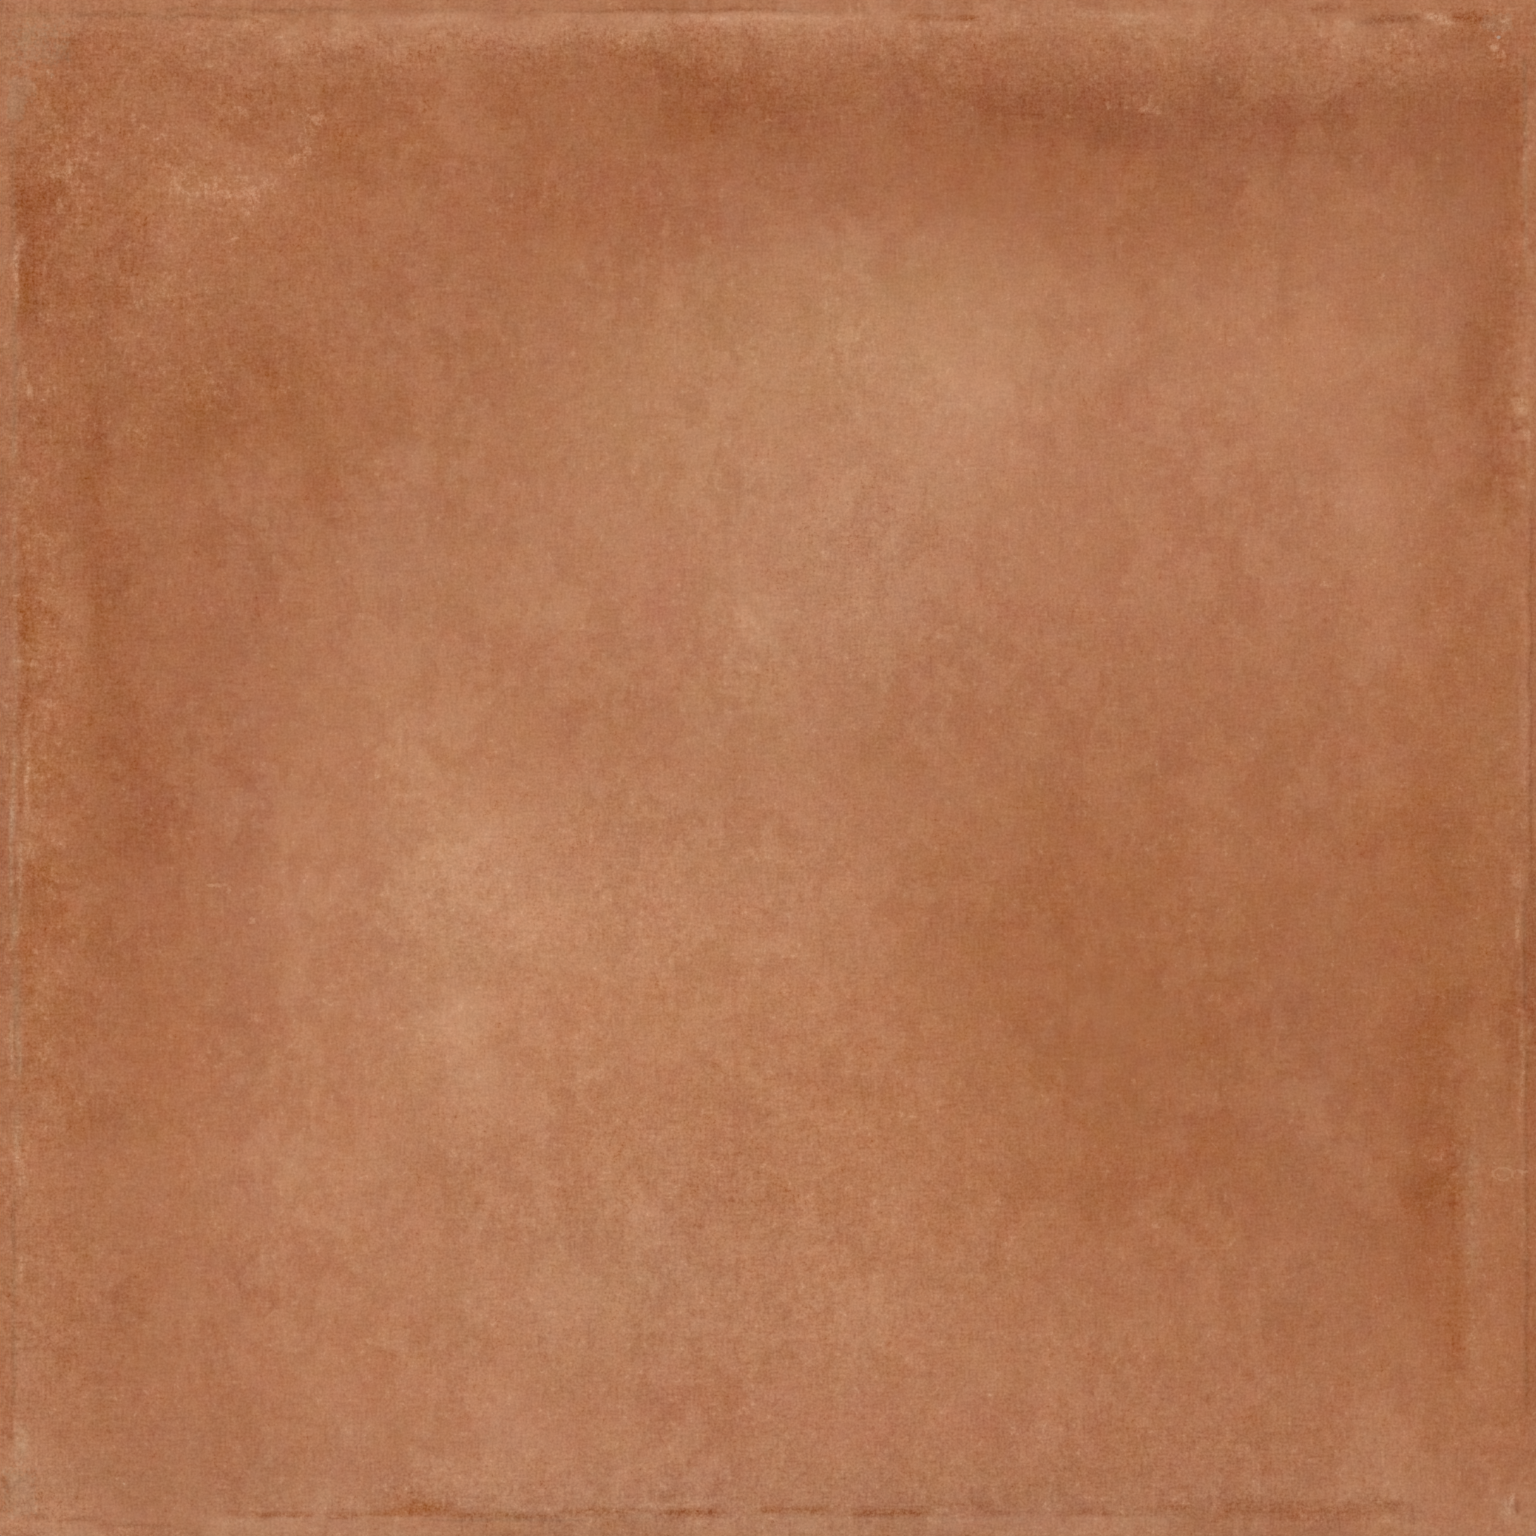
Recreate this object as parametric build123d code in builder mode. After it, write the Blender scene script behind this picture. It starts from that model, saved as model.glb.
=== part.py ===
"""Pressed square floor tile in fired red clay, with cushioned face edges and a waffle-keyed back.

Sizes are in millimetres. The back rests on Z = 0 with its centre on the origin, and the face looks up +Z.
"""

import os
from math import floor

from build123d import *

# Outline, as the die box shapes it
tile_side = 200.0  # both ways across
tile_thickness = 9.0  # from the back's ribs to the face
corner_radius = 1.0  # upright corners

# Cushion, the arc that eases the face down into each side
cushion_width = 2.0  # in from the outline
cushion_drop = 0.8  # down from the face

# Draft that draws each side in towards the back
draft_inset = 0.8  # in from the outline, at the back
draft_rise = 3.0  # up from the back

# Waffle of ribs around shallow pockets, which keys the back into its adhesive
rib_pitch = 15.5  # from one rib's middle to the next
rib_width = 3.0  # across a rib's flat top
rim_least = 6.0  # narrowest plain rim outside the pockets
pocket_depth = 0.6
pocket_draft = 25.0  # degrees, so that the pressed tile leaves its punch
pocket_corner_cut = 1.2  # each way, across a pocket's corners

# Places that follow from those sizes
half_side = tile_side / 2
cushion_base = tile_thickness - cushion_drop
back_half = half_side - draft_inset
pocket_side = rib_pitch - rib_width
pocket_field = 2 * (back_half - rim_least)
pockets_per_side = floor((pocket_field + rib_width) / rib_pitch)

# A pocket's outline on the back: a square with its corners cut across
with BuildSketch() as pocket:
    Rectangle(pocket_side, pocket_side)
    chamfer(pocket.vertices(), length=pocket_corner_cut)

with BuildPart() as tile:
    # The die box: a square with its upright corners just rounded
    with BuildSketch():
        RectangleRounded(tile_side, tile_side, corner_radius)
    extrude(amount=tile_thickness)

    # The punches' section, carried across the tile both ways, so that its edges mitre at the corners
    for section_plane in (Plane.XZ, Plane.YZ):
        with BuildSketch(section_plane):
            with BuildLine():
                Polyline((0, 0), (back_half, 0), (half_side, draft_rise), (half_side, cushion_base))
                face_line = Line((0, tile_thickness), (half_side - cushion_width, tile_thickness))
                TangentArc(face_line @ 1, (half_side, cushion_base), tangent=face_line % 1)
                mirror(about=Plane.YZ)
            make_face()
        extrude(amount=half_side, both=True, mode=Mode.INTERSECT)

    # The waffle: whole pockets only, in a square field centred on the back
    with BuildSketch():
        with GridLocations(rib_pitch, rib_pitch, pockets_per_side, pockets_per_side):
            add(pocket.sketch)
    extrude(amount=pocket_depth, taper=pocket_draft, mode=Mode.SUBTRACT)

tile.part.label = "tile"
os.makedirs("parts", exist_ok=True)
export_step(tile.part, "parts/tile.step")
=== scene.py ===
"""Looks of a pressed square floor tile: a mottled, washed face with worn edges, on a plain clay body.

The mesh is in metres. Sizes and places are written in millimetres from the tile's centre, with +X
right and +Y up.
"""

from math import pi, radians, sin, tan

import bpy
import numpy as np
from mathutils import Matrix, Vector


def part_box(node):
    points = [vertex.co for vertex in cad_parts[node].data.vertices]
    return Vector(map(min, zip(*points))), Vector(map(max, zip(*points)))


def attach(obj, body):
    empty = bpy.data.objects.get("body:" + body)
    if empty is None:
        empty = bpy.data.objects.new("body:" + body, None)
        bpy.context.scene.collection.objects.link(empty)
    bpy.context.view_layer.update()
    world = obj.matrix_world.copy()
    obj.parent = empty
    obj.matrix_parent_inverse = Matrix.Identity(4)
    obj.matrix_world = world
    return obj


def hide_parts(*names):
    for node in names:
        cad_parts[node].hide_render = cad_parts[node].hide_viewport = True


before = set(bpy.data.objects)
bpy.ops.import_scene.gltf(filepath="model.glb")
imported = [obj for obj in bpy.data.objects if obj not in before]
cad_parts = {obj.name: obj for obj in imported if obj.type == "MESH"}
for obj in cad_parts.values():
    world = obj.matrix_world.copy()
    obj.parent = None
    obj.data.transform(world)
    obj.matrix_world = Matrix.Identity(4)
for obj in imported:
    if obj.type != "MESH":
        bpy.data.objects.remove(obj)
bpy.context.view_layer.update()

MM = 0.001
low_corner, high_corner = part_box("tile")
HALF_SIDE = (high_corner.x - low_corner.x) / 2 / MM
THICKNESS = (high_corner.z - low_corner.z) / MM

# Sizes repeated from the part's source
CORNER_RADIUS = 1.0
CUSHION_WIDTH = 2.0
CUSHION_DROP = 0.8
DRAFT_INSET = 0.8
DRAFT_RISE = 3.0
RIB_PITCH = 15.5
RIB_WIDTH = 3.0
POCKETS_PER_SIDE = 12
POCKET_DEPTH = 0.6
POCKET_DRAFT = 25.0

# Sizes that follow from those
CUSHION_BASE = THICKNESS - CUSHION_DROP
CUSHION_RADIUS = (CUSHION_WIDTH**2 + CUSHION_DROP**2) / (2 * CUSHION_DROP)
POCKET_SIDE = RIB_PITCH - RIB_WIDTH
FIELD_HALF = POCKETS_PER_SIDE * RIB_PITCH / 2
POCKET_WALL = POCKET_DEPTH * tan(radians(POCKET_DRAFT))

# Small roundings that firing and handling leave
ARRIS_EASE = 0.05
HEEL_EASE = 0.15
HEEL_CORNER_RADIUS = 0.4
POCKET_CORNER_RADIUS = 1.8
WALL_EASE = 0.1

# Relief of the face and the sides: sizes and heights of its waves, how much closer the sides' waves lie
# up than along, the back's share of them, and the angle past which an edge stays sharp
FACE_SWELL = ((52, 0.05), (17, 0.018), (6, 0.009), (2.6, 0.006))
SIDE_SWELL = ((24, 0.03), (5, 0.012))
SIDE_SQUEEZE = 2
BACK_SWELL_SHARE = 0.5
SHARP_ANGLE = radians(38)

# The relief's noise: cells before its lattice comes round again, and where on it the tile's centre lies
LATTICE_CELLS = 97
LATTICE_START = (31.7, 17.3)

# Lines of the mesh: in from a pocket's edge, in from the heel over the rim, and how much closer they
# lie at the face's edges, over what reach and worked out at how many places
POCKET_STEPS = (-0.3, 0, 0.14, POCKET_WALL, 0.55, 1.1, 2.6)
RIM_STEPS = (0, 0.25, 0.8, 2.0, 3.6, 5.2, 6.4)
EDGE_CROWDING = 4.5
CROWDING_REACH = 4.5
DENSITY_SAMPLES = 8001

# Clay colour, as display values from 0 to 255, how it shifts by one step of tone, greyness, olive or
# grain, and the span of tones either way with the stops over it
CLAY = np.array([176.0, 116.6, 82.4])
TONE_STEP = np.array([0.47, 0.61, 0.63])
GREY_STEP = np.array([-0.78, -0.05, 0.63])
OLIVE_STEP = np.array([-0.42, 0.79, -0.45])
GRAIN_STEP = np.array([0.58, 0.58, 0.58])
TONE_SPAN = 100
TONE_STOPS = 15

# Noises of every size meet at one place, which is moved this far off
NOISE_CENTRE = (613.0, 471.0, 157.0)

# The clay's own faint sheen: its level, and the veil of light that it adds, which the colours leave out
SHEEN_LEVEL = 0.2
SHEEN_VEIL = 0.011

# How far clouds stir the patches' places, and how edge marks waver: sizes and heights of the clouds
PATCH_STIR = ((7, 1.6), (3, 0.7))
EDGE_WAVER = ((5, 0.18), (1.7, 0.1))

# How a strip along an edge eases at its ends and at its line, and how much it covers
STRIP_END_EASE = 4
STRIP_LINE_EASE = 0.5
STRIP_COVER = 0.85

# How a stroke along an edge tapers: the share of its length, what is added to that, and the most
TAPER_SHARE = 0.4
TAPER_LEAST = 0.4
TAPER_MOST = 3

# The most that scuffs and dark grains add up to, and the olive in each step of an edge's greyness
SCUFF_MOST = 2
PITS_MOST = 1.2
OLIVE_WITH_GREY = 0.3

# Clouds of the wash: broad zones with flat middles, by a higher power, then soft patches.
# Each is middle across, middle up, half width, half height and strength.
WASH_BASE = -3
WASH_CONTRAST = 1.1
ZONE_POWER = 4
WASH_ZONES = (
    (-22, -32, 46, 70, 10),
    (31, 42, 53, 25, 9),
    (10, -55, 28, 45, 4),
    (-10, 30, 40, 35, 2),
    (-55, -15, 13, 62, 4),
    (35, -80, 24, 12, 5),
)
WASH_PATCHES = (
    # Pale rim along the top edge, and the dark band below it
    (0, 97, 85, 3.5, 14),
    (-55, 95, 15, 2.5, 8),
    (-50, 87, 10, 5, -11),
    (-30, 88, 7, 5, -12),
    (-8, 86, 9, 6.5, -28),
    (4, 86, 7, 5, -16),
    (38, 85, 22, 6, -32),
    (20, 92, 9, 4, -10),
    (75, 86, 16, 3.5, -20),
    (68, 81, 14, 4, -10),
    (88, 80, 9, 7, -16),
    (95, 87, 5, 6, -20),
    (96, 77, 3, 8, -14),
    (91, 95, 4, 3, -12),
    (75, 97, 5, 3, 7),
    (28, 76, 45, 6, -11),
    (57, 74, 7, 9, -8),
    (45, 70, 5, 8, -7),
    (-30, 72, 8, 3.5, -9),
    (-17, 70, 10, 6, -8),
    (-35, 80, 22, 8, -8),
    (-57, 79, 4, 3, -10),
    (-17, 89, 6, 5, -8),
    (-65, 85, 8, 4, -8),
    (-76, 60, 10, 4, -6),
    (-78, 40, 6, 3, -7),
    (-78, 89, 5, 3, -7),
    (-89, 86, 7, 8, -9),
    # Upper left, dark with scuffs
    (-70, 65, 32, 28, -6),
    (-76, 73, 5, 4, 12),
    (-69, 76, 5, 4, 14),
    (-63, 79, 5, 4, 11),
    (-77, 82, 4, 5, 7),
    (-42, 84, 5, 7, 11),
    (-78, 65, 5, 6, 9),
    (-91, 78, 2.5, 2.5, 7),
    (-95, 73, 4, 7, -23),
    (-95, 61, 3, 6, -17),
    (-87, 66, 5, 7, -13),
    (-90, 55, 6, 5, -8),
    (-73, 45, 7, 4, -17),
    (-66, 51, 10, 6, -10),
    (-61, 43, 4, 6, -9),
    (-57, 36, 3, 5, -16),
    (-66, 35, 5, 4, 7),
    (-50, 46, 5, 6, -9),
    (-40, 60, 10, 10, -5),
    (-48, 31, 6, 10, 5),
    # Left dark band
    (-85, 48, 7, 4, -8),
    (-95, 40, 6, 12, -11),
    (-87, 40, 3, 6, -16),
    (-86, 25, 5, 10, -19),
    (-86, 5, 4, 9, -18),
    (-81, -8, 5, 6, -15),
    (-70, 22, 14, 20, -10),
    (-78, -2, 12, 12, -7),
    (-96, 15, 3, 10, -9),
    (-94, -3, 4, 7, -6),
    (-94, -16, 3, 2.5, -12),
    (-85, -24, 12, 18, -11),
    (-85, -47, 7, 3, -9),
    (-88, -74, 8, 9, -9),
    (-70, -85, 5, 7, -5),
    (-92, -7, 6, 3, 4),
    (-97, -52, 3, 5, 10),
    (-95, -78, 4, 12, 9),
    (-96, -93, 4, 5, 14),
    # Pale cloud right of the top middle
    (8, 42, 30, 24, 13),
    (27, 49, 8, 9, 22),
    (14, 58, 6, 7, 13),
    (35, 60, 14, 5, 5),
    (5, 65, 8, 4, 6),
    (-3, 19, 5, 5, 16),
    (-22, 34, 9, 10, 4),
    (3, 9, 9, 9, 6),
    (5, 46, 4, 3, -7),
    (12, 20, 9, 6, 6),
    (-29, 19, 5, 4, 6),
    # Pale cloud left of the middle
    (-32, -22, 24, 28, 14),
    (-40, -12, 7, 8, 22),
    (-31, -21, 6, 5, 13),
    (-41, -34, 4, 5, 19),
    (-38, -42, 4, 4, 12),
    (-47, 4, 8, 9, 5),
    (-62, -16, 6, 8, 6),
    (-14, -17, 12, 6, 5),
    (5, -20, 12, 14, 9),
    # Lower middle
    (-20, -60, 45, 25, 7),
    (-32, -91, 34, 8, 10),
    (-17, -58, 3, 3.5, 10),
    (-29, -70, 9, 6, 12),
    (-35, -83, 7, 5, 7),
    (10, -70, 6, 6, 6),
    (-62, -54, 11, 9, 9),
    (-58, -79, 8, 8, 6),
    (-43, -54, 4, 4, -10),
    (-3, -48, 9, 15, -7),
    (-7, -82, 8, 9, -6),
    (-22, 8, 9, 8, -8),
    # Right
    (77, 34, 6, 7, 15),
    (68, 50, 14, 9, 11),
    (80, 18, 4, 7, 9),
    (94, 51, 4.5, 16, -22),
    (99, 50, 2, 8, 18),
    (93, 38, 3, 4, -10),
    (92, 68, 5, 9, -8),
    (93, 15, 7, 18, -8),
    (88, -13, 10, 16, -17),
    (86, -42, 4, 14, -18),
    (86, -60, 4, 8, -20),
    (88, -75, 3, 5, -14),
    (97, -34, 4, 16, -15),
    (98, -68, 3, 10, -13),
    (79, -50, 9, 13, -12),
    (92, -30, 4, 5, -9),
    (86, -68, 6, 4, -8),
    (91, -86, 7, 6, -6),
    # Lower right dark zone
    (52, -30, 30, 26, -16),
    (24, -22, 7, 9, -9),
    (35, -20, 5, 8, -6),
    (40, -55, 9, 5, -10),
    (48, -43, 6, 5, -6),
    (64, -52, 8, 8, -8),
    (72, -46, 7, 8, 11),
    (58, -14, 7, 6, 5),
    (47, -62, 3.5, 4, 8),
    (71, -71, 7, 6, -6),
    (80, -89, 7, 7, 8),
    (15, 2, 5, 4, -9),
    (38, -5, 6, 5, -7),
    # Bottom edge
    (-80, -99, 26, 2, 12),
    (-58, -97, 6, 3, 8),
    (40, -99, 20, 2, 9),
    (-46, -95, 5, 2, -9),
    (66, -97, 8, 2, -7),
    (-94, -98, 10, 3, 12),
    (96, -97, 6, 4, 14),
    (-58, -94.5, 6, 2, 8),
    (-8, -94.5, 14, 2, 6),
    (60, -94.5, 20, 2, 7),
    (82, -94.5, 6, 2, 8),
    # Top edge, just inside the cushion
    (-30, 96.8, 50, 1.3, 6),
    (-35, 95.3, 35, 1.8, 7),
    (-55, 93.5, 20, 2, 5),
    (-85, 94, 6, 2.5, -7),
    (-91.5, 93.6, 2.2, 1.5, -14),
    (90, 95.5, 3.5, 1.6, -14),
    # Small touches, many of them where a render measured lighter or darker than the photo
    (96, 59, 2, 4, -7),
    (-18, 94, 5, 2, -7),
    (-96, 84, 2.5, 3, -7),
    (-97, 14, 2, 4, -6),
    (4, -83, 2.5, 2.5, 6),
    (-7, -80, 2.5, 2.5, 6),
    (-53, -87, 4, 3, 5),
    (75, -94, 3, 2, 5),
    (45, -93, 3, 2, 5),
    (-76, 87, 2.5, 2.5, -6),
    (-98, -7, 2, 3, -7),
    (-89, -9, 3, 2, 5),
    (48, -40, 5, 5, 2),
    (40, 5, 6, 6, 1.5),
    (56, -29, 6, 8, 4),
    (80, -49, 4, 5, 4),
    (-48, -12, 8, 5, -3),
    (2, -33, 5, 6, -3),
    (84, 45, 4, 8, -4),
    (36, 48, 5, 10, -3),
    (0, 66, 3, 14, 3),
    (-45, 95, 16, 2.5, -4),
    (4, 95, 14, 2.5, 5),
    (88, 89, 3, 3, -6),
    (-92, 95, 3, 3, 4),
    (-68, -26, 5, 5, -3),
    (-18, 93, 3.5, 4, -12),
    (-36, 92.5, 5, 2.5, -11),
    (4, 90, 5, 4, 5),
    (-6, 81, 5, 3, -7),
    (-61, 81, 4, 4, -7),
    (-32, 76, 4, 3.5, 8),
    (-27, 69, 6, 3, -7),
    (46, 62, 4, 4, -10),
    (29, 50.5, 4, 4, -9),
    (44, 75, 3, 4, -5),
    (50, 72, 3, 4, 4),
    (71, 74, 3, 6, -7),
    (94, 91, 3, 3, -9),
    (98, 74, 2, 4, 7),
    (10, 12, 4, 3, -7),
    (17, 20, 4, 4, -4),
    (24, 27, 4, 4, -7),
    (38, 21.5, 7, 3, 7),
    (85, 14, 3.5, 7, -8),
    (88, 44, 3, 4, -5),
    (82, 50, 3, 4, -5),
    (58, -6, 7, 3, 7),
    (74, 5, 3, 3, 6),
    (75, -13, 6, 3, -6),
    (95, -62, 2, 14, -4),
    (62, -62.5, 4, 4, 9),
    (51, -60, 4, 2.5, -6),
    (-67, -59, 4, 3, 6),
    (-93, -69, 4, 3.5, 11),
    (-80.5, -80, 5, 4, 10),
    (-93.5, -90, 4, 3.5, 11),
    (-96, -82, 2.5, 3.5, 7),
    (-35, -89.5, 7, 4, 9),
    (-47, -83, 3.5, 3.5, -8),
    (-60, -35, 3, 6, 6),
    (-53, -42, 4, 6, -6),
    (-52, -54, 3, 4, -5),
    (-40, -15, 3.5, 4, -8),
    (-48, -15, 3, 3, -4),
    (-4, -57, 6, 4, -7),
    (-19, -51, 5, 5, -6),
    (-17, -27, 4, 3, -4),
    (-20, 44, 7, 3.5, 5),
    (-3, 45, 4, 4, 5),
    (15, 41, 5, 4, 5),
    (-41, 13, 3, 5, -5),
    (74, -36, 3, 4, -5),
    (5, -24, 5, 3, 5),
    (88, -44, 3, 4, 5),
    (-91, 71.5, 3.5, 3.5, -8),
    (-84, 62, 5, 3, -6),
    (-91, 64.5, 3, 2.5, 5),
    (98, -88, 2.5, 5, -8),
    (-9, 94.5, 4, 3, 7),
    (-69.5, -70.5, 4, 2.5, -7),
    (-1.5, -22.5, 3, 2.5, -7),
    (93, -34, 2.5, 5, -7),
    (0, -60.5, 6, 3, -6),
    (32, -39, 3, 4, -5),
    (-13, -95, 4, 3, -6),
    (17, -72.5, 5, 2, -5),
    (19, -88, 4, 2.5, -5),
    (58, 94, 2.5, 4, 6),
    (68, 92, 4, 2.5, -5),
    (20, 83, 4, 3, -5),
    (32, 80.5, 4, 2.5, -4),
    (-96.5, 86.5, 2, 3.5, -5),
    (95.5, 43.5, 2, 3.5, 7),
    (81, -59.5, 3, 3, -6),
    (74, 95, 5, 1.6, 8),
    (82, 94.5, 4, 2, -5),
)

# Flat strips outside the cushion's line: start and end along the side, inset of the inner line, tone.
# The tones also hold painted light and shade against the lamps' shading of the cushion's slopes: raised
# mostly along the bottom, lowered along the top.
EDGE_STRIPS = {
    "left": (
        (97, 75, 2.5, 0),
        (75, 66, 2.5, -6),
        (66, 53, 2.5, 3),
        (53, 37, 2.5, -6),
        (37, 26, 2.4, -12),
        (26, -3, 2.4, -6),
        (-3, -26, 1.9, -13),
        (-26, -38, 1.9, -8),
        (-38, -88, 2.3, -2),
    ),
    "right": (
        (100, 95, 1.9, -11),
        (95, 88, 1.9, -10),
        (88, 66, 2.0, -5),
        (66, 37, 1.7, 3),
        (37, -15, 1.2, -13),
        (-15, -48, 1.8, -19),
        (-48, -85, 1.8, -20),
    ),
    "top": (
        (-97, -72, 1.9, 2),
        (-72, -42, 1.9, 3),
        (-42, -20, 1.9, -1),
        (-20, 0, 1.9, -11),
        (0, 40, 1.7, 4),
        (40, 68, 1.6, -2),
        (68, 88, 1.6, 0),
        (88, 97, 1.6, -5),
    ),
    "bottom": (
        (-88, -72, 2.6, 7),
        (-72, -40, 2.8, 18),
        (-40, -11, 2.6, 6),
        (-11, 14, 2.8, 19),
        (14, 28, 2.8, 12),
        (28, 52, 2.9, 17),
        (52, 75, 2.4, 3),
        (75, 97, 2.4, 10),
    ),
}

# Drift from ochre, below nothing, to grey, above it
GREY_PATCHES = (
    (0, 55, 95, 45, 0.6),
    (12, 24, 16, 16, 1.8),
    (-48, 30, 5, 14, 1.6),
    (50, 86, 40, 6, 2.6),
    (70, 78, 14, 6, 1.8),
    (88, 68, 6, 18, 2.2),
    (8, 76, 16, 9, 1.2),
    (-70, 74, 20, 10, -1.8),
    (-25, 70, 6, 5, -1.6),
    (-60, 46, 14, 9, -1.6),
    (70, 54, 7, 7, -1.6),
    (0, -97, 100, 8, 5.0),
    # Less grey along the very bottom edge: painted light, against the grey cast of the shade on the
    # bottom cushion
    (0, -100, 120, 1.2, -2.0),
    (-45, -96, 8, 3, -3.0),
    (0, 99, 100, 3, 1.6),
    (-97, 97, 8, 8, 2.5),
    (-67, -5, 4, 60, 1.4),
    (-93, 0, 5, 35, -2.0),
    (-99, 10, 2, 40, 3.0),
    (-77, -40, 6, 16, -2.4),
    (-92, -40, 5, 20, -1.6),
    (-25, -30, 22, 14, -2.4),
    (-58, -45, 10, 20, -1.6),
    (14, -42, 20, 22, -2.4),
    (-15, -66, 12, 12, 2.2),
    (70, -50, 6, 30, 1.6),
    (48, -15, 25, 14, -1.2),
    (84, 0, 8, 40, -1.6),
    (99, 0, 2, 40, 2.0),
    (-38, 0, 12, 14, -1.4),
    (45, -55, 18, 10, -1.4),
    (90, -70, 8, 14, -1.6),
    (-20, -50, 10, 8, -1.1),
    (-62, -12, 6, 16, -1.1),
    (-55, -78, 14, 8, -1.1),
    (20, -92, 50, 5, -1.0),
    (38, 28, 14, 7, -0.7),
    (-55, 5, 6, 10, -0.8),
    (98, 20, 3, 20, -1.2),
    (-92, 92, 8, 8, -1.4),
    (-45, 80, 8, 6, -1.1),
    (22, 80, 10, 5, -1.1),
    (-45, -25, 9, 8, 1.3),
    (-5, 6, 6, 9, 0.8),
    (-90, -38, 6, 8, 1.0),
    (-45, 60, 6, 10, 0.7),
    (76, 33, 6, 7, 0.8),
    (-82, -86, 12, 7, 0.8),
    (-8, 68, 14, 6, 0.5),
    (22, 64, 10, 6, 0.5),
)

# Drift from pink, below nothing, to olive, above it
OLIVE_PATCHES = (
    (8, 57, 24, 10, 1.7),
    (-18, 45, 12, 7, 1.1),
    (24, 64, 12, 5, 0.4),
    (-70, 46, 22, 8, 0.6),
    (-5, 10, 8, 6, 0.8),
    (-18, -70, 5, 12, 0.8),
    (-45, -20, 4, 20, 0.8),
    (40, -25, 20, 35, 0.4),
    (92, -20, 8, 40, 0.6),
    (-15, 22, 4, 8, -1.4),
    (-70, -10, 12, 50, -0.6),
    (45, 45, 14, 7, -0.5),
    (0, -84, 60, 4, -0.9),
    (40, 18, 14, 8, -0.5),
    (62, 32, 28, 24, -0.5),
    (-52, -25, 6, 14, -0.5),
    (-38, -30, 4, 14, 0.4),
    (-10, -25, 5, 20, 0.5),
    (-62, -66, 16, 16, -0.4),
    (-12, 87, 10, 5, 0.6),
    (50, -66, 22, 10, -0.3),
    (-2, -80, 10, 4, -0.4),
    (-12, 73, 40, 6, -0.5),
    (-10, 38, 10, 4, 0.5),
    (3, 5, 5, 6, 0.4),
)

# How strong the grain is, over its plain level
GRAIN_PATCHES = (
    (0, 95, 140, 8, 0.2),
    (-80, 75, 22, 25, 0.35),
    (-96, 0, 7, 120, 0.4),
    (0, -60, 42, 30, 0.5),
    (-25, -15, 22, 14, 0.4),
    (-92, -75, 8, 25, 0.2),
    (-10, -95, 80, 8, 0.3),
    (60, -90, 25, 12, 0.25),
    (30, 76, 14, 6, -0.25),
    (42, -32, 9, 14, -0.35),
    (-60, -8, 10, 25, -0.17),
    (10, 25, 10, 12, 0.35),
    (62, -28, 30, 30, -0.18),
    (72, 55, 25, 25, -0.08),
    (8, 52, 12, 14, 0.15),
    (8, -14, 8, 12, 0.15),
    (-41, -14, 6, 12, 0.15),
    (91, 78, 7, 7, -0.25),
)

# Where pale clay shows through the wash in specks
SCUFF_PATCHES = (
    (-59.5, 83.5, 1.8, 1.8, 1.7),
    (-62, 79.5, 2.4, 1.5, 1.7),
    (-68.5, 75.5, 4.5, 2.2, 1.2),
    (-75.5, 75, 2.8, 3.4, 0.9),
    (-69.5, 85.5, 2.2, 1.3, 0.8),
    (-68.5, 68.8, 2.4, 1.0, 0.8),
    (-94, 80.7, 2.0, 2.0, 0.8),
    (-90, 76, 3, 4, 0.6),
    (-82, 82, 12, 8, 0.3),
    (-78, 61.5, 4.5, 4, 0.6),
    (-86, 58, 1.5, 3, 0.7),
    (-72.5, 50.5, 4, 2.2, 0.6),
    (-79.5, 43.5, 1.5, 1.4, 0.9),
    (-85.5, 46, 1.7, 1.8, 0.8),
    (-80, 53, 8, 8, 0.3),
    (-94, 5, 4, 50, 0.45),
    (48.8, 85.6, 1.4, 1.2, 1.0),
    (85, 95, 12, 2.5, 0.3),
    (94, 94, 2, 2, 0.9),
    (90, -40, 8, 40, 0.25),
    (58, -20, 20, 14, 0.15),
    (68, 55, 7, 6, 0.25),
)

# Where dark grains stand out
PIT_PATCHES = (
    (8, 30, 12, 7, 0.9),
    (20, 34, 8, 5, 0.4),
    (-70, 78, 20, 14, 0.4),
    (-30, -8, 14, 10, 0.5),
    (-15, -50, 30, 18, 0.5),
    (-95, -96, 6, 5, 0.9),
    (-40, -97, 40, 4, 0.5),
    (80, 95, 16, 5, 0.6),
    (-60, 93, 40, 6, 0.4),
)

# Grey-tan film with firm edges, in the corners
FILM_PATCHES = (
    (-94, 93.5, 4.5, 3.6, 0.6),
    (-96.6, 87.9, 1.9, 1.4, 1.1),
    (-97.5, 85.3, 1.2, 1.7, 1.0),
    (94.5, 96.6, 2.4, 1.3, 0.9),
    (-97, -94, 2.5, 3.5, 0.9),
)

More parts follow.
